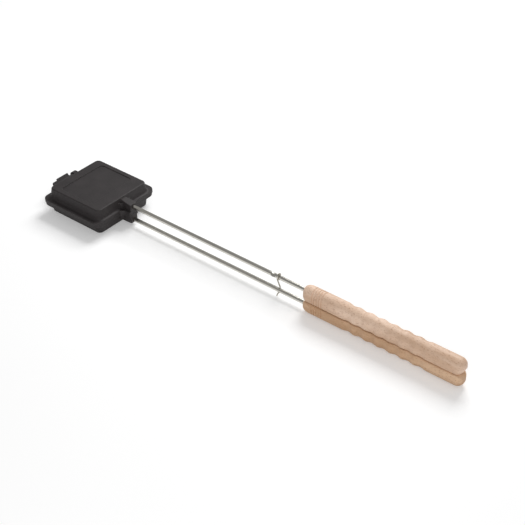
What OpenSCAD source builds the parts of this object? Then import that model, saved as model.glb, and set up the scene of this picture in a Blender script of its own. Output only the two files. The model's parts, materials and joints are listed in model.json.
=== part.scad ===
// Sandwich iron: two cast pans hinged face to face, each on a long rod with a wooden handle.
// X runs from the hinge to the handle ends, Y across, Z up. The origin is on the surface that
// the iron stands on, under the middle of its whole length.

/* [Pans] */
// Width of a pan's rim, side to side
rim_w = 127; // [120:1:155]
// Length of a pan's rim, hinge side to handle side
rim_l = 117; // [112:1:145]
// Thickness of each rim
rim_t = 4.6; // [3:0.1:6]
// Corner radius of the rims
rim_corner_r = 12; // [8:1:16]
// How far the lower rim stays inside the upper one
rim_step = 1.2; // [0:0.1:2]
// Gap between the two rims when the iron is closed
rim_gap = 0.4; // [0.2:0.1:1]
// Width of the flat back of a pan
back_w = 103; // [90:1:106]
// Length of the flat back of a pan
back_l = 103; // [90:1:104]
// Height of each back above or below the middle plane
pan_h = 20.3; // [18:0.1:26]
// Corner radius of the back
back_corner_r = 7; // [5:0.5:10]
// How far the pan's wall leans out from the back down to the rim
wall_lean = 2.6; // [1:0.1:4]
// Radius of the rounded edge round the back
shoulder_r = 1.8; // [0.5:0.1:3]
// Radius of the hollow at the foot of the wall
foot_r = 4; // [2:0.5:4.5]
// Thickness of the pan's wall and floor
pan_wall = 4.2; // [3:0.1:6]
// How far the bread space narrows from its mouth to its floor
cavity_lean = 3; // [1:0.5:5]
// Corner radius of the bread space at its floor
cavity_corner_r = 6; // [5:0.5:10]

/* [Back panel] */
// Length of the sunk panel on each back
panel_l = 65; // [40:1:80]
// Width of the sunk panel
panel_w = 87; // [50:1:88]
// How far the panel's middle lies towards the hinge
panel_shift = 3; // [0:0.5:5]
// Depth of the panel
panel_depth = 0.9; // [0.4:0.1:1.5]
// Corner radius of the panel
panel_corner_r = 6; // [2:0.5:10]

/* [Hinge] */
// Distance of the hinge bar's middle from the upper rim
hinge_out = 14; // [12:0.5:18]
// Diameter of the hinge bar
bar_d = 6.4; // [5:0.1:8]
// Radius of the rounded ears that carry the bar
ear_r = 5.8; // [5:0.1:6.5]
// Thickness of each ear
ear_t = 7.5; // [5:0.5:10]
// Width of the hook that holds the bar
hook_w = 22; // [16:1:28]
// Gap between each side of the hook and the ear beside it
hook_side_gap = 4; // [2:0.5:6]
// Gap between the bar and the hook's hollow
hook_gap = 0.4; // [0.3:0.05:0.6]
// Thickness of the hook
hook_t = 3.6; // [3:0.1:4]
// Length of the hook's leaning lip
lip_l = 6; // [4:0.5:6.5]
// Lean of the lip away from the pans, in degrees
lip_lean = 45; // [30:1:50]

/* [Handle bosses] */
// Distance of each boss's end from the upper rim
boss_out = 14.6; // [12:0.1:20]
// Width of a boss
boss_w = 12.6; // [11:0.1:16]
// Height of a boss over the middle plane at its end
boss_h = 15.8; // [15.6:0.1:17]
// How much higher the boss is where it leaves the pan
boss_rise = 2.4; // [0:0.1:3]
// Radius of the boss's upper edges
boss_edge_r = 2.6; // [1:0.1:3]
// Radius of the hollows between boss and pan
boss_hollow_r = 5; // [3:0.5:6]
// Width of the rim on each side of the boss
boss_rim = 2.8; // [2:0.1:4]
// Radius of the sweep of the rim round to the boss
boss_sweep_r = 8; // [5:0.5:10]
// Depth of the socket that holds the rod
socket_depth = 20; // [14:0.5:21]

/* [Rods] */
// Diameter of the rods
rod_d = 6.35; // [5:0.05:7]
// Height of each rod's axis over or under the middle plane
rod_h = 11.2; // [10.8:0.1:11.6]
// Play round a rod in its sockets
rod_fit = 0.04; // [0.02:0.01:0.08]
// Length of rod inside the wooden handle
rod_in_handle = 190; // [120:1:220]
// Width across the two pinched ears of the upper rod
pinch_w = 9.6; // [8:0.1:11]
// Length of the pinched ears
pinch_l = 9; // [6:0.5:12]
// Thickness of the pinched ears
pinch_t = 2.4; // [1.5:0.1:3]
// Gap between the pinched ears and the latch's eye
pinch_gap = 1.2; // [0.5:0.1:4]

/* [Wooden handles] */
// Distance from the upper rim's hinge side to the handle's front end
handle_start = 452.5; // [300:0.5:600]
// Length of a handle
handle_l = 252.5; // [220:0.5:300]
// Radius of a handle round its rod
handle_r = 10.6; // [9:0.1:11]
// Gap between the flat faces of the two handles
handle_gap = 1.6; // [0.8:0.1:3]
// Bevel along the edges of the flat face
handle_bevel = 1.2; // [0.4:0.1:1.8]
// Length of the rounded front end
front_round = 11; // [6:0.5:16]
// Radius of the small flat round the rod at the front end
front_flat_r = 4.6; // [4:0.1:6]
// Length of the rounded back end
end_round = 10.5; // [6:0.5:16]
// Number of turned grooves
groove_n = 5; // [1:1:6]
// Distance of the first groove from the front end
groove_first = 17; // [17:0.5:24]
// Distance from groove to groove
groove_pitch = 4; // [3:0.1:5]
// Width of a groove
groove_w = 1.6; // [0.8:0.1:2]
// Depth of a groove
groove_depth = 0.7; // [0.3:0.1:1]
// Number of finger hollows
wave_n = 7; // [1:1:7]
// Distance of the first finger hollow's start from the front end
wave_first = 67.5; // [50:0.5:75]
// Length of a finger hollow
wave_pitch = 18.9; // [12:0.1:19]
// Depth of a finger hollow
wave_depth = 1.1; // [0.4:0.1:1.6]

/* [Latch] */
// Distance from the handle's front end back to the latch's eye
latch_back = 46; // [20:0.5:100]
// Thickness of the latch's wire
wire_d = 2.1; // [1.6:0.1:2.4]
// Gap between the wire and the rods it goes round
wire_gap = 0.45; // [0.3:0.05:0.8]
// How far round the upper rod the eye is bent, in degrees
eye_turn = 300; // [270:5:300]
// Turn of the latch on the rods, in degrees
latch_yaw = 12; // [0:1:15]
// Length of the straight part of the finger piece
finger_l = 3.6; // [3:0.1:6]
// Radius of the bend before the finger piece's end
finger_bend_r = 2; // [1.5:0.1:3]
// Downward turn of the finger piece's end, in degrees
finger_turn = 70; // [30:1:80]
// Length of the finger piece's end
finger_drop = 1.2; // [0.5:0.1:3]

/* [Hidden] */
$fn = 96;
eps = 0.01;
// How far shapes that are cast in one reach into each other
bury = 1;
// Empty end of a socket beyond the rod, and the swelling of the wire at a bend
socket_end_gap = 1;
bend_swell = 0.06;

// The rims' middle, the boss's end and the handle's two ends, from the upper rim's hinge side
pan_x = rim_l / 2;
boss_end = rim_l + boss_out;
handle_end = handle_start + handle_l;

// Hinge: the bar's axis lies in the middle plane
hinge_x = -hinge_out;
hook_in_r = bar_d / 2 + hook_gap;
hook_out_r = hook_in_r + hook_t;
ear_y = hook_w / 2 + hook_side_gap;
lip_tip_x = hinge_x - hook_in_r - lip_l * sin(lip_lean) - hook_t * cos(lip_lean);

// Where the whole iron stands in its own frame
low_z = -rod_h - handle_r;
mid_x = (lip_tip_x + handle_end) / 2;

// Pan shell: half sizes at the rim's face and at the back
wall_slope = atan(wall_lean / (pan_h - rim_t));
foot_half_l = back_l / 2 + wall_lean;
foot_half_w = back_w / 2 + wall_lean;
cavity_depth = pan_h - pan_wall;
cavity_half_l = back_l / 2 - pan_wall;
cavity_half_w = back_w / 2 - pan_wall;

// Latch: radii of its wire round the two rods
eye_r = rod_d / 2 + wire_gap + wire_d / 2;
latch_x = handle_start - latch_back;
cross_a = asin(eye_r / rod_h);
pinch_x = latch_x - eye_r * sin(latch_yaw) - wire_d / 2 - pinch_gap - pinch_l / 2;

// Places a piece that is drawn from the rim's hinge side and the middle plane
module placed() {
    translate([-mid_x, 0, -low_z]) children();
}

// Turns an upper piece into its lower twin
module flipped() {
    mirror([0, 0, 1]) children();
}

// Rectangle with round corners, centred, of half sizes a and b
module round_rect(a, b, r) {
    union() {
        square([2 * a, 2 * (b - r)], center = true);
        square([2 * (a - r), 2 * b], center = true);
        for (sx = [-1, 1], sy = [-1, 1]) translate([sx * (a - r), sy * (b - r)]) circle(r);
    }
}

// Carries a wall profile round a rectangle with round corners. The children are the profile
// with x = 0 at the corner's centre and y up, of half sizes a and b at x = r.
module carried_round(a, b, r) {
    for (sx = [0, 1], sy = [0, 1]) mirror([sx, 0, 0]) mirror([0, sy, 0])
        translate([a - r, b - r, 0]) rotate_extrude(angle = 90) children();
    for (s = [0, 1]) mirror([s, 0, 0])
        translate([a - r, b - r, 0]) rotate([90, 0, 0]) linear_extrude(2 * (b - r)) children();
    for (s = [0, 1]) mirror([0, s, 0])
        translate([r - a, b - r, 0]) rotate([90, 0, 90]) linear_extrude(2 * (a - r)) children();
    linear_extrude(pan_h) square([2 * (a - r), 2 * (b - r)], center = true);
}

// Outside profile of the pan's wall, from the hollow at its foot up to the rounded shoulder
module wall_profile() {
    foot_x = back_corner_r + wall_lean;
    foot_run = corner_run(foot_r);
    shoulder_run = corner_run(shoulder_r);
    polygon([[0, 0], [foot_x, 0], [foot_x, rim_t],
             [back_corner_r + shoulder_run * sin(wall_slope), pan_h - shoulder_run * cos(wall_slope)],
             [back_corner_r - shoulder_run, pan_h], [0, pan_h]]);
    translate([back_corner_r - shoulder_run, pan_h - shoulder_r]) circle(shoulder_r);
    difference() {
        polygon([[foot_x - 1, 0], [foot_x + foot_run, 0], [foot_x + foot_run, rim_t],
                 [foot_x - foot_run * sin(wall_slope), rim_t + foot_run * cos(wall_slope)],
                 [foot_x - 1, rim_t]]);
        translate([foot_x + foot_run, rim_t + foot_r]) circle(foot_r);
    }
}

// Distance from a wall's corner to where a round of radius r starts
function corner_run(r) = r / tan(45 + wall_slope / 2);

// Space for the bread, drawn upwards from the middle plane
module cavity() {
    mouth_l = cavity_half_l + cavity_lean;
    mouth_w = cavity_half_w + cavity_lean;
    r = cavity_corner_r;
    translate([pan_x, 0, 0]) {
        for (sx = [0, 1], sy = [0, 1]) mirror([sx, 0, 0]) mirror([0, sy, 0])
            translate([cavity_half_l - r, cavity_half_w - r, 0]) rotate_extrude(angle = 90)
                cavity_profile();
        for (s = [0, 1]) mirror([s, 0, 0]) translate([cavity_half_l - r, cavity_half_w - r, 0])
            rotate([90, 0, 0]) linear_extrude(2 * (cavity_half_w - r)) cavity_profile();
        for (s = [0, 1]) mirror([0, s, 0]) translate([r - cavity_half_l, cavity_half_w - r, 0])
            rotate([90, 0, 90]) linear_extrude(2 * (cavity_half_l - r)) cavity_profile();
        translate([0, 0, -1]) linear_extrude(cavity_depth + 1)
            square([2 * (cavity_half_l - r), 2 * (cavity_half_w - r)], center = true);
    }
}

module cavity_profile() {
    r = cavity_corner_r;
    polygon([[0, -1], [r + cavity_lean, -1], [r + cavity_lean, 0], [r, cavity_depth],
             [0, cavity_depth]]);
}

// Outline of the rim with its sweep out to the boss's end; inset shrinks it all round
module rim_outline(inset) {
    half_l = rim_l / 2 - inset;
    half_w = rim_w / 2 - inset;
    neck = boss_w / 2 + boss_rim - inset;
    front = pan_x + half_l;
    translate([pan_x, 0]) round_rect(half_l, half_w, rim_corner_r - inset);
    translate([front - bury, -neck]) square([boss_end - front + bury, 2 * neck]);
    for (s = [-1, 1]) difference() {
        translate([front - bury, s > 0 ? 0 : -neck - boss_sweep_r])
            square([boss_sweep_r + bury, neck + boss_sweep_r]);
        translate([front + boss_sweep_r, s * (neck + boss_sweep_r)]) circle(boss_sweep_r);
    }
}

// Boss that holds the rod, with its hollows against the pan's wall
module boss() {
    root = pan_x + back_l / 2 - 2 * bury;
    top = boss_h + boss_rise;
    intersection() {
        translate([root, 0, 0]) rotate([90, 0, 90]) linear_extrude(boss_end - root)
            boss_section(top);
        // Side view: the top falls towards the boss's end
        translate([0, boss_w, 0]) rotate([90, 0, 0]) linear_extrude(2 * boss_w)
            polygon([[root - bury, rim_gap / 2], [boss_end, rim_gap / 2], [boss_end, boss_h],
                     [pan_x + foot_half_l, top], [root - bury, top]]);
    }
    for (s = [0, 1]) mirror([0, s, 0]) boss_hollow(top - shoulder_r - boss_edge_r);
}

module boss_section(top) {
    half = boss_w / 2;
    translate([-half, 0]) square([boss_w, top - boss_edge_r]);
    translate([boss_edge_r - half, 0]) square([boss_w - 2 * boss_edge_r, top]);
    for (s = [-1, 1]) translate([s * (half - boss_edge_r), top - boss_edge_r]) circle(boss_edge_r);
}

// Web with a round hollow in the corner between the pan's wall and the boss
module boss_hollow(top) {
    wall = pan_x + back_l / 2;
    far = pan_x + foot_half_l + boss_hollow_r;
    translate([0, 0, rim_gap / 2]) linear_extrude(top - rim_gap / 2) difference() {
        translate([wall - 2 * bury, 0])
            square([far - wall + 2 * bury, boss_w / 2 + boss_hollow_r]);
        translate([far, boss_w / 2 + boss_hollow_r]) circle(boss_hollow_r);
    }
}

// One pan without its hinge part, drawn as the upper one
module pan(inset) {
    difference() {
        union() {
            translate([0, 0, rim_gap / 2]) linear_extrude(rim_t - rim_gap / 2) rim_outline(inset);
            intersection() {
                translate([pan_x, 0, 0])
                    carried_round(back_l / 2, back_w / 2, back_corner_r) wall_profile();
                translate([0, 0, rim_gap / 2]) linear_extrude(pan_h) rim_outline(inset);
            }
            boss();
        }
        cavity();
        // Sunk panel on the back
        translate([pan_x - panel_shift, 0, pan_h - panel_depth]) linear_extrude(panel_depth + 1)
            round_rect(panel_l / 2, panel_w / 2, panel_corner_r);
        // Socket for the rod
        translate([boss_end - socket_depth, 0, rod_h]) rotate([0, 90, 0])
            cylinder(d = rod_d + 2 * rod_fit, h = socket_depth + 1);
    }
}

// Ears and bar of the upper pan
module hinge_loop() {
    for (s = [0, 1]) mirror([0, s, 0]) translate([0, ear_y + ear_t, 0]) rotate([90, 0, 0])
        linear_extrude(ear_t) {
            translate([hinge_x, 0]) circle(ear_r);
            translate([hinge_x, rim_gap / 2]) square([hinge_out + bury, ear_r - rim_gap / 2]);
        }
    translate([hinge_x, ear_y + eps, 0]) rotate([90, 0, 0]) cylinder(d = bar_d, h = 2 * (ear_y + eps));
}

// Hook of the lower pan: a hollow under the bar with a lip that leans away from the pans
module hinge_hook() {
    translate([0, hook_w / 2, 0]) rotate([90, 0, 0]) linear_extrude(hook_w) difference() {
        union() {
            intersection() {
                translate([hinge_x, 0]) circle(hook_out_r);
                translate([hinge_x - hook_out_r, -hook_out_r])
                    square([2 * hook_out_r, hook_out_r - rim_gap / 2]);
            }
            // Tongue back to the rim and the pan's wall
            polygon([[hinge_x, -rim_gap / 2], [rim_step + bury, -rim_gap / 2],
                     [rim_step + bury, -rim_t], [pan_x - foot_half_l + bury, -rim_t - foot_r],
                     [hinge_x, -hook_out_r]]);
            // Leaning lip
            translate([hinge_x - hook_in_r, -rim_gap / 2]) rotate(lip_lean) translate([-hook_t, -hook_t])
                square([hook_t, lip_l + hook_t]);
        }
        translate([hinge_x, 0]) circle(hook_in_r);
        translate([hinge_x - hook_in_r, -rim_gap / 2]) square([2 * hook_in_r, lip_l + hook_t]);
    }
}

// Radius of the handle at distance x from its front end
function round_in(t) = sqrt(max(0, 1 - (1 - t) * (1 - t)));
function in_wave(x) = x > wave_first && x < wave_first + wave_n * wave_pitch;
function wave(x) = in_wave(x) ? wave_depth * (1 - cos(360 * (x - wave_first) / wave_pitch)) / 2 : 0;
function handle_radius(x) =
    x < front_round ? front_flat_r + (handle_r - front_flat_r) * round_in(x / front_round) :
    x > handle_l - end_round ? handle_r * round_in((handle_l - x) / end_round) :
    handle_r - wave(x);

// Stations along the handle: the rounded front end, each groove, the finger hollows, the back end
round_steps = 10;
wave_steps = 10;
handle_stations = concat(
    [for (k = [0 : round_steps]) front_round * (1 - cos(90 * k / round_steps))],
    [for (k = [0 : wave_n * wave_steps]) wave_first + k * wave_pitch / wave_steps],
    [for (k = [0 : round_steps]) handle_l - end_round + end_round * sin(90 * k / round_steps)]);

// Upper handle, drawn from its front end with the rod's axis at its own height
module handle_shape() {
    difference() {
        union() {
            // Turned upper side
            along_rod() rotate([0, 0, 90]) rotate_extrude(angle = 180) turned_profile();
            // Straight-sided lower side, with its ends rounded too
            intersection() {
                translate([0, 0, handle_gap / 2]) linear_extrude(rod_h - handle_gap / 2) handle_plan();
                along_rod() rotate_extrude() end_profile();
            }
        }
        // Bevels along the flat face
        for (s = [-1, 1]) translate([handle_l / 2, s * handle_r, handle_gap / 2]) rotate([45, 0, 0])
            cube([handle_l + 2, sqrt(2) * handle_bevel, sqrt(2) * handle_bevel], center = true);
        translate([0, 0, rod_h]) rotate([0, 90, 0])
            cylinder(d = rod_d + 2 * rod_fit, h = rod_in_handle + socket_end_gap);
        for (k = [0 : groove_n - 1]) translate([groove_first + k * groove_pitch, 0, 0]) handle_groove();
    }
}

// Stands a turned shape, drawn upwards, along the rod's axis
module along_rod() {
    translate([0, 0, rod_h]) rotate([0, 90, 0]) children();
}

// Profile with its radius along x and the handle's length along y
module turned_profile() {
    polygon(concat([[0, 0]], [for (x = handle_stations) [handle_radius(x), x]]));
}

// Profile that rounds the two ends of the lower side, wide enough for its corners
module end_profile() {
    wide = sqrt(2) * handle_r;
    polygon(concat([[0, 0]],
        [for (x = handle_stations) if (x <= front_round || x >= handle_l - end_round)
            [wide * handle_radius(x) / handle_r, x]]));
}

// Outline of the handle seen from above
module handle_plan() {
    polygon(concat([for (x = handle_stations) [x, handle_radius(x)]],
                   [for (k = [len(handle_stations) - 1 : -1 : 0])
                       [handle_stations[k], -handle_radius(handle_stations[k])]]));
}

// Turned groove: a ring over the top and straight notches down the sides
module handle_groove() {
    along_rod() rotate([0, 0, 90]) rotate_extrude(angle = 180)
        translate([handle_r, 0]) groove_section();
    for (s = [-1, 1]) translate([0, s * handle_r, 0]) linear_extrude(rod_h + eps)
        rotate(s * 90) groove_section();
}

module groove_section() {
    polygon([[-groove_depth, 0], [0.2, groove_w / 2], [0.2, -groove_w / 2]]);
}

// Bent wire of the latch in its own plane (x across the rods, y up): from the open eye round the
// upper rod it crosses to the far side of the lower rod, goes under it and ends in a finger piece
module latch_wire() {
    translate([0, rod_h]) wire_bend(eye_r, 180 + cross_a - eye_turn, eye_turn);
    translate([0, -rod_h]) wire_bend(eye_r, -90, 90 + cross_a);
    translate([eye_r * cos(cross_a), eye_r * sin(cross_a) - rod_h]) rotate(cross_a)
        wire_straight(2 * sqrt(rod_h * rod_h - eye_r * eye_r));
    translate([0, -rod_h - eye_r]) rotate(90) {
        wire_straight(finger_l);
        translate([-finger_bend_r, finger_l]) {
            wire_bend(finger_bend_r, 0, finger_turn);
            rotate(finger_turn) translate([finger_bend_r, 0]) wire_straight(finger_drop);
        }
    }
}

// Wire bent to radius r from angle a, through the given turn
module wire_bend(r, a, turn) {
    rotate(a) rotate_extrude(angle = turn) translate([r, 0]) circle(d = wire_d);
}

// Straight wire with the slight swelling that a bend leaves at each of its ends
module wire_straight(l) {
    rotate([-90, 0, 0]) cylinder(d = wire_d, h = l);
    for (y = [0, l]) translate([0, y]) sphere(d = wire_d + bend_swell);
}

module upper_plate() {
    color([0.29, 0.27, 0.27]) placed() {
        pan(0);
        hinge_loop();
    }
}

module lower_plate() {
    color([0.25, 0.24, 0.24]) placed() {
        flipped() pan(rim_step);
        difference() {
            hinge_hook();
            flipped() cavity();
        }
    }
}

module rod() {
    translate([boss_end - socket_depth, 0, rod_h]) rotate([0, 90, 0])
        cylinder(d = rod_d, h = handle_start + rod_in_handle - boss_end + socket_depth);
}

module upper_rod() {
    color([0.72, 0.72, 0.70]) placed() {
        rod();
        // Pinched ears that keep the latch in its place
        translate([pinch_x, 0, rod_h - pinch_t / 2]) linear_extrude(pinch_t) intersection() {
            translate([0, pinch_w / 2 - pinch_l]) circle(pinch_l);
            translate([0, pinch_l - pinch_w / 2]) circle(pinch_l);
        }
    }
}

module lower_rod() {
    color([0.68, 0.68, 0.66]) placed() flipped() rod();
}

module upper_handle() {
    color([0.87, 0.75, 0.64]) placed() translate([handle_start, 0, 0]) handle_shape();
}

module lower_handle() {
    color([0.80, 0.66, 0.52]) placed() translate([handle_start, 0, 0]) flipped() handle_shape();
}

module latch() {
    color([0.60, 0.60, 0.58]) placed() translate([latch_x, 0, 0])
        rotate([0, 0, latch_yaw]) rotate([90, 0, 90]) latch_wire();
}

upper_plate();
lower_plate();
upper_rod();
lower_rod();
upper_handle();
lower_handle();
latch();
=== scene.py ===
"""Sandwich iron: the looks of the closed iron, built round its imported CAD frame.

The two cast pans are the frame's own solids with a cast-iron skin. The rods, the wooden handles
and the wire latch are new meshes, computed as grids, that stand for the frame's plain ones.
Lengths are metres in the frame's own axes: X from the hinge to the handles, Z up.
"""

import json
import math

import bpy
import numpy as np
from bpy.props import FloatProperty, FloatVectorProperty, IntProperty, PointerProperty
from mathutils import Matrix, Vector


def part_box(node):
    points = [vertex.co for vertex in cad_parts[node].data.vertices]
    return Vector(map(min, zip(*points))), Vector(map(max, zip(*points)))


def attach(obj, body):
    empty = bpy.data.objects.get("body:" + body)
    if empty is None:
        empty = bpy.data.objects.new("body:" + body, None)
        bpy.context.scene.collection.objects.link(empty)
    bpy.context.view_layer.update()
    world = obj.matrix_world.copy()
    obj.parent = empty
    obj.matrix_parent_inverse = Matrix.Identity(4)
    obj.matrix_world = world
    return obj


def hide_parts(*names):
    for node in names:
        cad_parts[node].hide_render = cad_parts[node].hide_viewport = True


bl_info = {
    "name": "Sandwich Iron",
    "version": (1, 0, 0),
    "blender": (4, 5, 0),
    "location": "View3D > Sidebar > Sandwich Iron",
    "description": "Cast pans, plated rods, wooden handles and wire latch of a sandwich iron",
    "category": "Object",
}

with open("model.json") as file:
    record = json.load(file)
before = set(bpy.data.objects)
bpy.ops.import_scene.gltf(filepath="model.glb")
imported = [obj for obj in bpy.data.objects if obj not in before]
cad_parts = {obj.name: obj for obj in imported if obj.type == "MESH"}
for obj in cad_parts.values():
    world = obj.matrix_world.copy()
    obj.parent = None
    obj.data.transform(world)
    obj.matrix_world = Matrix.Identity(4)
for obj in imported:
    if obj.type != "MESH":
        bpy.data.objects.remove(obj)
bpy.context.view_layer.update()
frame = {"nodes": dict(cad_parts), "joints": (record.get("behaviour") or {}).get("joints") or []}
HALVES = ("upper", "lower")
JOINTS = {joint["name"]: joint for joint in frame["joints"]}


def box_size(node):
    """Size of a frame node's box along each axis."""
    low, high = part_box(node)
    return high - low


ROD_R = box_size("lower_rod").z / 2
HANDLE_R = box_size("upper_handle").y / 2
HANDLE_L = box_size("upper_handle").x
PINCH_W = box_size("upper_rod").y
EYE_AXIS = Vector(JOINTS["latch_swing"]["pos_m"])
LOWER_AXIS_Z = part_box("lower_rod")[0].z + ROD_R


def length(name, description, default, low=0.0, high=1.0):
    """A size property in metres."""
    return FloatProperty(name=name, description=description, default=default, min=low, max=high,
                         precision=5, subtype="DISTANCE", unit="LENGTH")


def colour(name, description, default):
    """A colour property; the values are linear."""
    return FloatVectorProperty(name=name, description=description, default=default, size=3,
                               min=0.0, max=1.0, subtype="COLOR")


class SANDWICHIRON_PG_pans(bpy.types.PropertyGroup):
    """Finish of the two cast pans."""
    iron: colour("Iron", "Colour of the seasoned cast iron", (0.024, 0.020, 0.0205))
    worn: colour("Worn edge", "Colour where edges are rubbed bare", (0.16, 0.15, 0.145))
    grain: length("Grain", "Size of the casting's grain", 0.0011, 0.0002, 0.01)
    edge: length("Edge softness", "Radius that casting leaves on sharp edges", 0.0005, 0.0, 0.002)


class SANDWICHIRON_PG_rods(bpy.types.PropertyGroup):
    """Sizes and finish of the rods."""
    steel: colour("Plating", "Colour of the bright plating", (0.62, 0.60, 0.55))
    stain: colour("Stain", "Colour of the plating where heat and hands have dulled it",
                  (0.20, 0.18, 0.14))
    pinch_length: length("Pinch length", "Length of the pinched ears on the upper rod", 0.009)
    pinch_start: length("Pinch distance", "Distance of the ears' middle from the latch's eye",
                        0.0077)


class SANDWICHIRON_PG_handles(bpy.types.PropertyGroup):
    """Sizes and wood colours of the two handles; the lower one's darker colour is painted shade.
    """
    nose: length("Nose length", "Length of the rounded front end", 0.011)
    nose_flat: length("Nose flat", "Radius of the flat round the rod", 0.0046)
    tail: length("Tail length", "Length of the rounded back end", 0.0105)
    edge: length("Edge", "Radius along the flat inner face's edges", 0.0022)
    groove_count: IntProperty(name="Grooves", description="Number of turned grooves", default=5,
                              min=0, max=8)
    groove_first: length("First groove", "Distance of the first groove from the front", 0.0178)
    groove_pitch: length("Groove pitch", "Distance from groove to groove", 0.00395)
    groove_width: length("Groove width", "Width of a groove", 0.0018)
    groove_depth: length("Groove depth", "Depth of a groove", 0.0010)
    hollow_count: IntProperty(name="Hollows", description="Number of finger hollows", default=7,
                              min=0, max=10)
    hollow_first: length("First hollow", "Distance of the first hollow from the front", 0.0675)
    hollow_pitch: length("Hollow pitch", "Length of a finger hollow", 0.0189)
    hollow_depth: length("Hollow depth", "Depth of a finger hollow", 0.0015)
    upper_wood: colour("Upper wood", "Ground colour of the upper handle", (0.84, 0.62, 0.47))
    # The lower handle is the same beech as the upper one: its darker colour is painted shade, for
    # the shade it sits in below the upper handle.
    lower_wood_shaded: colour("Lower wood", "Ground colour of the lower handle", (0.74, 0.50, 0.32))


class SANDWICHIRON_PG_latch(bpy.types.PropertyGroup):
    """Sizes of the wire latch."""
    wire: length("Wire", "Thickness of the wire", 0.0021)
    gap: length("Gap", "Room between the wire and the rods", 0.00045)
    eye_turn: FloatProperty(name="Eye turn", description="How far the eye goes round the rod",
                            default=math.radians(300), subtype="ANGLE", unit="ROTATION")
    yaw: FloatProperty(name="Yaw", description="Turn of the latch on the rods",
                       default=math.radians(12), subtype="ANGLE", unit="ROTATION")
    finger: length("Finger", "Length of the finger piece's straight part", 0.0036)
    finger_bend: length("Finger bend", "Radius of the finger piece's bend", 0.002)
    finger_drop: length("Finger end", "Length of the finger piece's end", 0.0012)
    finger_turn: FloatProperty(name="Finger turn", description="Downward turn of the finger piece",
                               default=math.radians(70), subtype="ANGLE", unit="ROTATION")


class SANDWICHIRON_PG_stage(bpy.types.PropertyGroup):
    """Camera, lamps and floor."""
    azimuth: FloatProperty(name="Azimuth", description="Turn of the camera from +Y towards -X",
                           default=math.radians(38.771), subtype="ANGLE", unit="ROTATION")
    elevation: FloatProperty(name="Elevation", description="Height of the camera as an angle",
                             default=math.radians(36.744), subtype="ANGLE", unit="ROTATION")
    distance: length("Distance", "Distance from the camera to its target", 1.6795, 0.1, 10)
    target_x: length("Target X", "Place along the iron that the camera looks at", 0.0371, -1, 1)
    target_z: length("Target Z", "Height that the camera looks at", 0.04404, -1, 1)
    lens: FloatProperty(name="Lens", description="Focal length of the camera in millimetres",
                        default=83.405, min=10, max=300, unit="CAMERA")
    key: FloatProperty(name="Key lamp", description="Power of the large soft lamp", default=20,
                       min=0, max=200, unit="POWER")
    fill: FloatProperty(name="Fill", description="Strength of the light from all round",
                        default=0.34, min=0, max=2)
    front: FloatProperty(name="Front lamp", description="Power of the weak lamp at the front",
                         default=7, min=0, max=200, unit="POWER")
    floor: colour("Floor", "Colour of the floor", (0.86, 0.86, 0.86))


# Node helpers

def add_node(tree, kind, settings=None, **inputs):
    """Adds a shader node; settings are its own fields, inputs its sockets by name or number."""
    made = tree.nodes.new(kind)
    for key, value in (settings or {}).items():
        setattr(made, key, value)
    for key, value in inputs.items():
        socket = made.inputs[int(key[1:]) if key[0] == "_" else key.replace("_", " ")]
        if isinstance(value, bpy.types.NodeSocket):
            tree.links.new(value, socket)
        else:
            socket.default_value = value
    return made


def add_group(name, inputs, outputs):
    """A shader node group with the named sockets: returns its tree, its inputs and its output."""
    tree = bpy.data.node_groups.new(name, "ShaderNodeTree")
    for label, kind, value in inputs:
        socket = tree.interface.new_socket(label, in_out="INPUT", socket_type=kind)
        socket.default_value = value
    for label, kind in outputs:
        tree.interface.new_socket(label, in_out="OUTPUT", socket_type=kind)
    source = tree.nodes.new("NodeGroupInput")
    sink = tree.nodes.new("NodeGroupOutput")
    return tree, source.outputs, sink.inputs


def use_group(tree, group, **inputs):
    """Places a node group in a material with its own values."""
    return add_node(tree, "ShaderNodeGroup", {"node_tree": group}, **inputs).outputs


def maths(tree, operation, *values):
    """The result socket of a Math node."""
    keys = {f"_{k}": value for k, value in enumerate(values)}
    return add_node(tree, "ShaderNodeMath", {"operation": operation}, **keys).outputs[0]


def mixed(tree, factor, first, second):
    """The colour between two colours."""
    made = add_node(tree, "ShaderNodeMix", {"data_type": "RGBA"}, _0=factor, _6=first, _7=second)
    return made.outputs[2]


def stretched(tree, scale):
    """Object coordinates scaled by a vector."""
    place = add_node(tree, "ShaderNodeTexCoord").outputs["Object"]
    return add_node(tree, "ShaderNodeVectorMath", {"operation": "MULTIPLY"},
                    _0=place, _1=scale).outputs[0]


def ramp(tree, factor, low, high):
    """A smooth step from 0 at low to 1 at high."""
    made = add_node(tree, "ShaderNodeMapRange", {"interpolation_type": "SMOOTHSTEP"}, Value=factor,
                    From_Min=low, From_Max=high)
    return made.outputs[0]


def noise(tree, vector, scale, detail=2.0, roughness=0.5):
    """A noise texture's value."""
    made = add_node(tree, "ShaderNodeTexNoise", None, Vector=vector, Scale=scale, Detail=detail,
                    Roughness=roughness)
    return made.outputs["Fac"]


# Shared effects

def skin_group():
    """Surface grain of a cast or plated piece: fine pebbles, with slow patches over them."""
    tree, given, out = add_group(
        "Surface grain",
        [("Grain", "NodeSocketFloat", 900.0), ("Patches", "NodeSocketFloat", 40.0)],
        [("Height", "NodeSocketFloat"), ("Patch", "NodeSocketFloat")])
    place = stretched(tree, (1, 1, 1))
    pebbles = add_node(tree, "ShaderNodeTexVoronoi", {"feature": "SMOOTH_F1"}, Vector=place,
                       Scale=given["Grain"], Smoothness=0.6).outputs["Distance"]
    fine = noise(tree, place, maths(tree, "MULTIPLY", given["Grain"], 0.45), 4, 0.6)
    tree.links.new(maths(tree, "ADD", maths(tree, "MULTIPLY", pebbles, 0.35), fine),
                   out["Height"])
    tree.links.new(noise(tree, place, given["Patches"], 4, 0.6), out["Patch"])
    return tree


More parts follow.
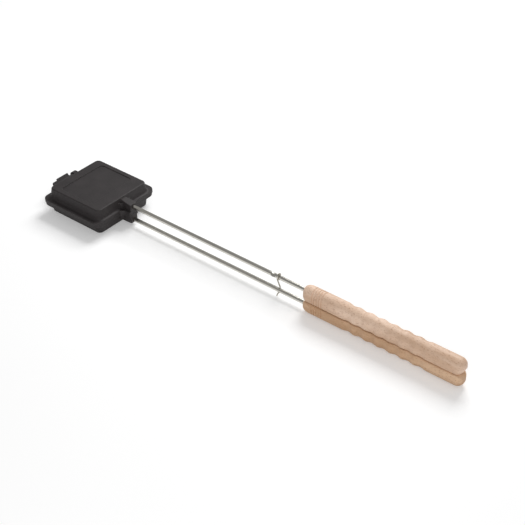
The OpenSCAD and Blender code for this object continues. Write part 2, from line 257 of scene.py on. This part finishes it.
def edge_group():
    """Mask of the convex edges: how far the surface turns within the given radius."""
    tree, given, out = add_group("Edge rub", [("Radius", "NodeSocketFloat", 0.001)],
                                 [("Mask", "NodeSocketFloat")])
    round_normal = add_node(tree, "ShaderNodeBevel", {"samples": 6},
                            Radius=given["Radius"]).outputs[0]
    true_normal = add_node(tree, "ShaderNodeNewGeometry").outputs["Normal"]
    turn = add_node(tree, "ShaderNodeVectorMath", {"operation": "DOT_PRODUCT"}, _0=round_normal,
                    _1=true_normal).outputs["Value"]
    rubbed = noise(tree, stretched(tree, (1, 1, 1)), 260.0, 3, 0.6)
    strength = maths(tree, "SUBTRACT", 1.0, turn)
    tree.links.new(ramp(tree, maths(tree, "MULTIPLY", strength, rubbed), 0.02, 0.16), out["Mask"])
    return tree


def beech_group():
    """Beech figure along X: broad tone, long fibres, and the short dark flecks of its rays."""
    tree, given, out = add_group(
        "Beech figure",
        [("Ground", "NodeSocketColor", (0.7, 0.5, 0.36, 1)),
         ("Shift", "NodeSocketVector", (0, 0, 0))],
        [("Color", "NodeSocketColor"), ("Height", "NodeSocketFloat"),
         ("Polish", "NodeSocketFloat")])

    def along(scale):
        place = stretched(tree, scale)
        return add_node(tree, "ShaderNodeVectorMath", {"operation": "ADD"}, _0=place,
                        _1=given["Shift"]).outputs[0]

    broad = noise(tree, along((9, 55, 55)), 1.0, 3, 0.55)
    fibres = noise(tree, along((45, 1500, 1500)), 1.0, 4, 0.6)
    bands = noise(tree, along((6, 210, 210)), 1.0, 2, 0.5)
    flecks = noise(tree, along((260, 1300, 1300)), 1.0, 1, 0.4)
    fleck = ramp(tree, flecks, 0.60, 0.68)
    ground = given["Ground"]
    darker = add_node(tree, "ShaderNodeMix", {"data_type": "RGBA", "blend_type": "MULTIPLY"},
                      _0=1.0, _6=ground, _7=(0.80, 0.73, 0.66, 1)).outputs[2]
    lighter = add_node(tree, "ShaderNodeMix", {"data_type": "RGBA", "blend_type": "MULTIPLY"},
                       _0=1.0, _6=ground, _7=(1.08, 1.09, 1.11, 1)).outputs[2]
    tone = mixed(tree, ramp(tree, broad, 0.35, 0.68), darker, lighter)
    tone = mixed(tree, maths(tree, "MULTIPLY", ramp(tree, bands, 0.5, 0.75), 0.3), tone, darker)
    tone = mixed(tree, maths(tree, "MULTIPLY", ramp(tree, fibres, 0.45, 0.75), 0.22), tone, darker)
    brown = add_node(tree, "ShaderNodeMix", {"data_type": "RGBA", "blend_type": "MULTIPLY"},
                     _0=1.0, _6=ground, _7=(0.56, 0.42, 0.32, 1)).outputs[2]
    tone = mixed(tree, maths(tree, "MULTIPLY", fleck, 0.7), tone, brown)
    tree.links.new(tone, out["Color"])
    height = maths(tree, "SUBTRACT", maths(tree, "MULTIPLY", fibres, 0.5),
                   maths(tree, "MULTIPLY", fleck, 0.4))
    tree.links.new(height, out["Height"])
    tree.links.new(broad, out["Polish"])
    return tree


def finish_group(name, build):
    """The named node group, built once."""
    return bpy.data.node_groups.get(name) or build()


def new_material(name):
    """A material with an empty tree: returns it, its tree and its surface socket."""
    material = bpy.data.materials.new(name)
    material.use_nodes = True
    tree = material.node_tree
    tree.nodes.clear()
    out = tree.nodes.new("ShaderNodeOutputMaterial")
    return material, tree, out.inputs["Surface"]


def cast_iron(look):
    """Seasoned cast iron: pebbled dark skin, duller patches, edges rubbed a little bare."""
    material, tree, surface = new_material("Cast iron")
    skin = use_group(tree, finish_group("Surface grain", skin_group), Grain=1 / look.grain,
                     Patches=45.0)
    rub = use_group(tree, finish_group("Edge rub", edge_group), Radius=look.edge * 1.4)["Mask"]
    shade = mixed(tree, ramp(tree, skin["Patch"], 0.3, 0.7),
                  (*[c * 0.8 for c in look.iron], 1), (*[c * 1.25 for c in look.iron], 1))
    shade = mixed(tree, maths(tree, "MULTIPLY", ramp(tree, skin["Height"], 0.45, 0.85), 0.35),
                  shade, (*[c * 1.7 for c in look.iron], 1))
    shade = mixed(tree, maths(tree, "MULTIPLY", rub, 0.35), shade, (*look.worn, 1))
    gloss = maths(tree, "ADD", 0.44, maths(tree, "MULTIPLY", skin["Patch"], 0.22))
    soft = add_node(tree, "ShaderNodeBevel", {"samples": 6}, Radius=look.edge).outputs[0]
    bump = add_node(tree, "ShaderNodeBump", None, Strength=0.35, Distance=0.0003,
                    Height=skin["Height"], Normal=soft).outputs[0]
    shader = add_node(tree, "ShaderNodeBsdfPrincipled", None, Base_Color=shade, Roughness=gloss,
                      Normal=bump, Specular_IOR_Level=0.35)
    tree.links.new(shader.outputs[0], surface)
    return material


def plated_steel(look, name, dulled):
    """Bright plating with drawn lines, dulled in patches; dulled is how much of it is stained."""
    material, tree, surface = new_material(name)
    skin = use_group(tree, finish_group("Surface grain", skin_group), Grain=700.0, Patches=70.0)
    lines = noise(tree, stretched(tree, (30, 2600, 2600)), 1.0, 3, 0.6)
    stain = ramp(tree, skin["Patch"], 0.62 - dulled, 0.85 - dulled)
    shade = mixed(tree, stain, (*look.steel, 1), (*look.stain, 1))
    gloss = maths(tree, "ADD", 0.14, maths(tree, "MULTIPLY", stain, 0.2))
    bump = add_node(tree, "ShaderNodeBump", None, Strength=0.12, Distance=0.0001,
                    Height=lines).outputs[0]
    shader = add_node(tree, "ShaderNodeBsdfPrincipled", None, Base_Color=shade, Metallic=1.0,
                      Roughness=gloss, Normal=bump)
    tree.links.new(shader.outputs[0], surface)
    return material


def beech(name, ground, shift):
    """Bare turned beech of the given ground colour."""
    material, tree, surface = new_material(name)
    figure = use_group(tree, finish_group("Beech figure", beech_group), Ground=(*ground, 1),
                       Shift=shift)
    gloss = maths(tree, "ADD", 0.46, maths(tree, "MULTIPLY", figure["Polish"], 0.16))
    bump = add_node(tree, "ShaderNodeBump", None, Strength=0.25, Distance=0.0002,
                    Height=figure["Height"]).outputs[0]
    shader = add_node(tree, "ShaderNodeBsdfPrincipled", None, Base_Color=figure["Color"],
                      Roughness=gloss, Normal=bump)
    tree.links.new(shader.outputs[0], surface)
    return material


# Mesh helpers

def skin_of_rings(name, rings, crease=math.radians(40)):
    """Mesh of rings[row, column] joined row to row and closed round, with a fan to the middle of
    the first and last rings. Columns run counter-clockwise seen against the rows' direction."""
    rows, columns = rings.shape[:2]
    index = np.arange(rows * columns).reshape(rows, columns)
    near, far = index[:-1], index[1:]
    quads = np.stack([near, np.roll(near, -1, 1), np.roll(far, -1, 1), far], -1).reshape(-1, 4)
    poles = rings[[0, -1]].mean(1)
    first, last = rows * columns, rows * columns + 1
    start = np.stack([np.full(columns, first), np.roll(index[0], -1), index[0]], -1)
    end = np.stack([np.full(columns, last), index[-1], np.roll(index[-1], -1)], -1)
    mesh = bpy.data.meshes.new(name)
    mesh.from_pydata(np.concatenate([rings.reshape(-1, 3), poles]).tolist(), [],
                     quads.tolist() + start.tolist() + end.tolist())
    mesh.validate()
    mesh.shade_smooth()
    mesh.set_sharp_from_angle(angle=crease)
    made = bpy.data.objects.new(name, mesh)
    bpy.context.scene.collection.objects.link(made)
    return made


def place_piece(piece, material, node, body):
    """Gives a piece its material and body and lets it stand for a frame node."""
    piece.data.materials.append(material)
    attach(piece, body)
    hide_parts(node)


def swell(t):
    """Quarter of a circle: 0 at t = 0, rising upright, to 1, level, at t = 1."""
    return np.sqrt(np.clip(1 - (1 - np.clip(t, 0, 1)) ** 2, 0, 1))


def handle_radii(x, look):
    """Radius at distance x from the front, and the same without hollows and grooves: a quarter
    ellipse at each end, raised cosines for the hollows, bell-shaped dips for the grooves."""
    nose = look.nose_flat + (HANDLE_R - look.nose_flat) * swell(x / look.nose)
    plain = np.minimum(nose, HANDLE_R * swell((HANDLE_L - x) / look.tail))
    along = (x - look.hollow_first) / look.hollow_pitch
    inside = (along > 0) & (along < look.hollow_count)
    hollow = np.where(inside, look.hollow_depth * (1 - np.cos(2 * np.pi * along)) / 2, 0)
    grooves = look.groove_first + look.groove_pitch * np.arange(look.groove_count)
    bells = np.exp(-((x[:, None] - grooves) / (look.groove_width / 2)) ** 4 * 2)
    return plain - hollow - look.groove_depth * bells.sum(1), plain


def handle_section(depth, edge):
    """Unit section, counter-clockwise: a half circle over straight sides down to a flat at
    -depth, with edges rounded to the given radius. Returns y and z in handle radii."""
    over = np.linspace(0, np.pi, 49)[:-1]
    down = np.linspace(0, 1, 10)[:-1]
    turn = np.linspace(0, np.pi / 2, 8)[:-1]
    flat = np.linspace(0, 1, 14)[:-1]
    side = depth - edge
    y = np.concatenate([np.cos(over), np.full(9, -1.0), -1 + edge * (1 - np.cos(turn)),
                        (1 - edge) * (2 * flat - 1), 1 - edge * (1 - np.sin(turn)),
                        np.full(9, 1.0)])
    z = np.concatenate([np.sin(over), -side * down, -side - edge * np.sin(turn),
                        np.full(13, -depth), -side - edge * np.cos(turn), -side * (1 - down)])
    return y, z


def handle_shape(half, look):
    """One handle: the section carried along X. The round side follows the turned radius; the
    straight side keeps its depth and closes in only at the two ends."""
    low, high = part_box(f"{half}_handle")
    upward = 1 if half == "upper" else -1
    axis_z = high.z - HANDLE_R if half == "upper" else low.z + HANDLE_R
    depth = (high.z - low.z - HANDLE_R) / HANDLE_R
    ends = 1 - np.cos(np.linspace(0, np.pi / 2, 26))
    x = np.unique(np.concatenate([look.nose * ends, HANDLE_L - look.tail * ends,
                                  np.linspace(0.0155, 0.0355, 200),
                                  np.linspace(look.nose, HANDLE_L - look.tail, 320)]).round(7))
    radius, plain = handle_radii(x, look)
    y, z = handle_section(depth, look.edge / HANDLE_R)
    lift = np.where(z > 0, radius[:, None] * z, plain[:, None] * z)
    rings = np.stack(np.broadcast_arrays(low.x + x[:, None], radius[:, None] * y * upward,
                                         axis_z + lift * upward), -1)
    return rings


def rod_shape(half, look):
    """One rod: circles along X. Where it is pinched, the sides draw out into two thin ears: the
    half width grows with the sixth power of the cosine, and the height shrinks a little."""
    low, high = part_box(f"{half}_rod")
    angle = np.linspace(0, 2 * np.pi, 49)[:-1]
    x = np.linspace(low.x, high.x, 60)
    pinch = np.zeros(1)
    if half == "upper":
        middle = EYE_AXIS.x - look.pinch_start
        reach = look.pinch_length / 2
        x = np.unique(np.concatenate([x, np.linspace(middle - reach, middle + reach, 60)]))
        pinch = np.clip(1 - ((x - middle) / reach) ** 2, 0, 1)[:, None] ** 0.6
    wide = ROD_R + (PINCH_W / 2 - ROD_R) * pinch * np.abs(np.cos(angle)) ** 6
    tall = ROD_R * (1 - 0.22 * pinch)
    x = x[:, None]
    return np.stack(np.broadcast_arrays(x, wide * np.cos(angle),
                                        (low.z + high.z) / 2 + tall * np.sin(angle)), -1)


def arc(centre, radius, start, end):
    """Points of an arc from one angle to another."""
    steps = max(8, int(abs(end - start) * radius / 0.0003))
    a = np.linspace(start, end, steps)
    return np.stack([centre[0] + radius * np.cos(a), centre[1] + radius * np.sin(a)], -1)


def latch_line(look):
    """The wire's middle line in its own plane (across, up), as arcs joined by straights: the eye
    round the upper rod, the leg crossing to the lower rod's far side, the hook under it and the
    finger piece. The leg touches both circles, so its slope is their radius over half the gap."""
    radius = ROD_R + look.gap + look.wire / 2
    upper, lower = EYE_AXIS.z, LOWER_AXIS_Z
    slope = math.asin(2 * radius / (upper - lower))
    eye = arc((0, upper), radius, math.pi + slope - look.eye_turn, math.pi + slope)
    hook = arc((0, lower), radius, slope, -math.pi / 2)
    bend_centre = (-look.finger, lower - radius - look.finger_bend)
    bend = arc(bend_centre, look.finger_bend, math.pi / 2, math.pi / 2 + look.finger_turn)
    run = np.array([-math.sin(look.finger_turn + math.pi / 2),
                    math.cos(look.finger_turn + math.pi / 2)])
    return np.concatenate([eye, hook, bend, [bend[-1] + run * look.finger_drop]])


def evened(line, spacing):
    """The line resampled at an even spacing and smoothed a little over its joins."""
    gone = np.concatenate([[0], np.cumsum(np.linalg.norm(np.diff(line, axis=0), axis=1))])
    at = np.linspace(0, gone[-1], int(gone[-1] / spacing))
    even = np.stack([np.interp(at, gone, line[:, k]) for k in (0, 1)], -1)
    weights = np.hanning(7)[1:-1] / np.hanning(7).sum()
    inner = np.stack([np.convolve(even[:, k], weights, "valid") for k in (0, 1)], -1)
    return np.concatenate([even[:2], inner, even[-2:]])


def latch_shape(look):
    """The wire: circles square to its middle line, smaller towards the two cut ends."""
    line = evened(latch_line(look), 0.0002)
    along = np.gradient(line, axis=0)
    along /= np.linalg.norm(along, axis=1, keepdims=True)
    normal = np.stack([-along[:, 1], along[:, 0]], -1)
    step = np.minimum(np.arange(len(line)), np.arange(len(line))[::-1]) * 0.0002
    radius = look.wire / 2 * (0.6 + 0.4 * swell(step / 0.0006))
    angle = np.linspace(0, 2 * np.pi, 25)[:-1]
    flat = line[:, None] + (radius[:, None] * np.cos(angle))[..., None] * normal[:, None]
    off = radius[:, None] * np.sin(angle)
    side, face = (np.array([-math.sin(look.yaw), math.cos(look.yaw), 0]),
                  np.array([math.cos(look.yaw), math.sin(look.yaw), 0]))
    rings = flat[..., :1] * side + off[..., None] * face + flat[..., 1:] * np.array([0, 0, 1])
    return rings + np.array([EYE_AXIS.x, 0, 0])


class SANDWICHIRON_OT_pans(bpy.types.Operator):
    """Gives the two cast pans their seasoned iron skin"""
    bl_idname = "sandwich_iron.pans"
    bl_label = "Finish the cast pans"

    def execute(self, context):
        material = cast_iron(context.scene.iron_pans)
        for half in HALVES:
            mesh = frame["nodes"][f"{half}_plate"].data
            mesh.materials.clear()
            mesh.materials.append(material)
        return {"FINISHED"}


class SANDWICHIRON_OT_rods(bpy.types.Operator):
    """Builds the two plated rods"""
    bl_idname = "sandwich_iron.rods"
    bl_label = "Build the rods"

    def execute(self, context):
        look = context.scene.iron_rods
        material = plated_steel(look, "Plated rod", 0.0)
        for half in HALVES:
            piece = skin_of_rings(f"{half}_rod_drawn", rod_shape(half, look))
            place_piece(piece, material, f"{half}_rod", f"{half}_half")
        return {"FINISHED"}


class SANDWICHIRON_OT_handles(bpy.types.Operator):
    """Turns the two wooden handles"""
    bl_idname = "sandwich_iron.handles"
    bl_label = "Turn the handles"

    def execute(self, context):
        look = context.scene.iron_handles
        # The lower handle gets the darker wood colour, which is painted shade.
        for half, wood, shift, slot in (
                ("upper", look.upper_wood, (0, 0, 0), "pale_beech"),
                ("lower", look.lower_wood_shaded, (31, 17, 5), "darker_beech")):
            material = beech(f"{half.title()} beech", wood, shift)
            piece = skin_of_rings(f"{half}_handle_turned", handle_shape(half, look))
            place_piece(piece, material, f"{half}_handle", f"{half}_half")
        return {"FINISHED"}


class SANDWICHIRON_OT_latch(bpy.types.Operator):
    """Bends the wire latch"""
    bl_idname = "sandwich_iron.latch"
    bl_label = "Bend the latch"

    def execute(self, context):
        material = plated_steel(context.scene.iron_rods, "Plated wire", 0.2)
        piece = skin_of_rings("latch_wire", latch_shape(context.scene.iron_latch))
        place_piece(piece, material, "latch", "latch")
        return {"FINISHED"}


def build_camera(look):
    """Camera at the given angles and distance from its target, without tilt or shift."""
    turn, rise = look.azimuth, look.elevation
    away = Vector((math.sin(turn) * math.cos(rise), -math.cos(turn) * math.cos(rise),
                   math.sin(rise)))
    data = bpy.data.cameras.new("Camera")
    data.lens = look.lens
    data.sensor_width = 36
    data.clip_end = 50
    camera = bpy.data.objects.new("Camera", data)
    bpy.context.scene.collection.objects.link(camera)
    camera.location = Vector((look.target_x, 0.0002, look.target_z)) + away * look.distance
    camera.rotation_mode = "QUATERNION"
    camera.rotation_quaternion = (-away).to_track_quat("-Z", "Y")
    bpy.context.scene.camera = camera


def build_lamp(name, place, size, power):
    """Square soft lamp that shines at the middle of the iron."""
    data = bpy.data.lights.new(name, "AREA")
    data.size = size
    data.energy = power
    lamp = bpy.data.objects.new(name, data)
    bpy.context.scene.collection.objects.link(lamp)
    lamp.location = place
    lamp.rotation_mode = "QUATERNION"
    lamp.rotation_quaternion = (-Vector(place)).to_track_quat("-Z", "Y")


def build_floor(look):
    """Wide pale floor. Seen by the camera, or in metal, it also glows a little up to white."""
    material, tree, surface = new_material("Pale floor")
    path = add_node(tree, "ShaderNodeLightPath").outputs
    seen = maths(tree, "MAXIMUM", path["Is Camera Ray"],
                 maths(tree, "MAXIMUM", path["Is Glossy Ray"], path["Is Transmission Ray"]))
    matt = add_node(tree, "ShaderNodeBsdfDiffuse", None, Color=(*look.floor, 1)).outputs[0]
    glow = add_node(tree, "ShaderNodeEmission", None,
                    Strength=maths(tree, "MULTIPLY", seen, 0.24)).outputs[0]
    both = add_node(tree, "ShaderNodeAddShader", None, _0=matt, _1=glow).outputs[0]
    tree.links.new(both, surface)
    mesh = bpy.data.meshes.new("floor")
    reach = 12.0
    mesh.from_pydata([(-reach, -reach, 0), (reach, -reach, 0), (reach, reach, 0),
                      (-reach, reach, 0)], [], [(0, 1, 2, 3)])
    mesh.materials.append(material)
    floor = bpy.data.objects.new("floor", mesh)
    floor.location.z = -0.0002
    bpy.context.scene.collection.objects.link(floor)


def build_world(look):
    """Plain grey light from all round. The floor fills the view, so none of it is seen."""
    world = bpy.data.worlds.new("Studio")
    bpy.context.scene.world = world
    world.use_nodes = True
    tree = world.node_tree
    tree.nodes.clear()
    light = add_node(tree, "ShaderNodeBackground", None, Color=(1, 1, 1, 1), Strength=look.fill)
    out = tree.nodes.new("ShaderNodeOutputWorld")
    tree.links.new(light.outputs[0], out.inputs["Surface"])


class SANDWICHIRON_OT_stage(bpy.types.Operator):
    """Sets the camera, the soft lamps, the pale floor and the white surroundings"""
    bl_idname = "sandwich_iron.stage"
    bl_label = "Set the stage"

    def execute(self, context):
        look = context.scene.iron_stage
        context.scene.view_settings.view_transform = "Standard"
        build_world(look)
        build_floor(look)
        build_lamp("Key lamp", (-0.25, 1.05, 1.25), 0.9, look.key)
        build_lamp("Front lamp", (0.75, -1.15, 0.85), 1.1, look.front)
        build_camera(look)
        return {"FINISHED"}


class SANDWICHIRON_PT_sidebar(bpy.types.Panel):
    """Lists the iron's pieces and their settings"""
    bl_idname = "SANDWICHIRON_PT_sidebar"
    bl_label = "Sandwich Iron"
    bl_space_type = "VIEW_3D"
    bl_region_type = "UI"
    bl_category = "Sandwich Iron"

    def draw(self, context):
        for operator, group in PIECES:
            part = self.layout.box()
            part.operator(operator.bl_idname)
            settings = getattr(context.scene, group)
            for name in type(settings).__annotations__:
                part.prop(settings, name)


PIECES = (
    (SANDWICHIRON_OT_pans, "iron_pans"),
    (SANDWICHIRON_OT_rods, "iron_rods"),
    (SANDWICHIRON_OT_handles, "iron_handles"),
    (SANDWICHIRON_OT_latch, "iron_latch"),
    (SANDWICHIRON_OT_stage, "iron_stage"),
)
SETTINGS = {
    "iron_pans": SANDWICHIRON_PG_pans,
    "iron_rods": SANDWICHIRON_PG_rods,
    "iron_handles": SANDWICHIRON_PG_handles,
    "iron_latch": SANDWICHIRON_PG_latch,
    "iron_stage": SANDWICHIRON_PG_stage,
}
CLASSES = (*SETTINGS.values(), *(operator for operator, _ in PIECES), SANDWICHIRON_PT_sidebar)


def register():
    for each in CLASSES:
        bpy.utils.register_class(each)
    for name, group in SETTINGS.items():
        setattr(bpy.types.Scene, name, PointerProperty(type=group))


def unregister():
    for name in SETTINGS:
        delattr(bpy.types.Scene, name)
    for each in reversed(CLASSES):
        bpy.utils.unregister_class(each)


def main():
    """Registers the add-on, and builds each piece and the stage."""
    register()
    bpy.ops.sandwich_iron.pans()
    bpy.ops.sandwich_iron.rods()
    bpy.ops.sandwich_iron.handles()
    bpy.ops.sandwich_iron.latch()
    bpy.ops.sandwich_iron.stage()


if __name__ == "__main__":
    main()
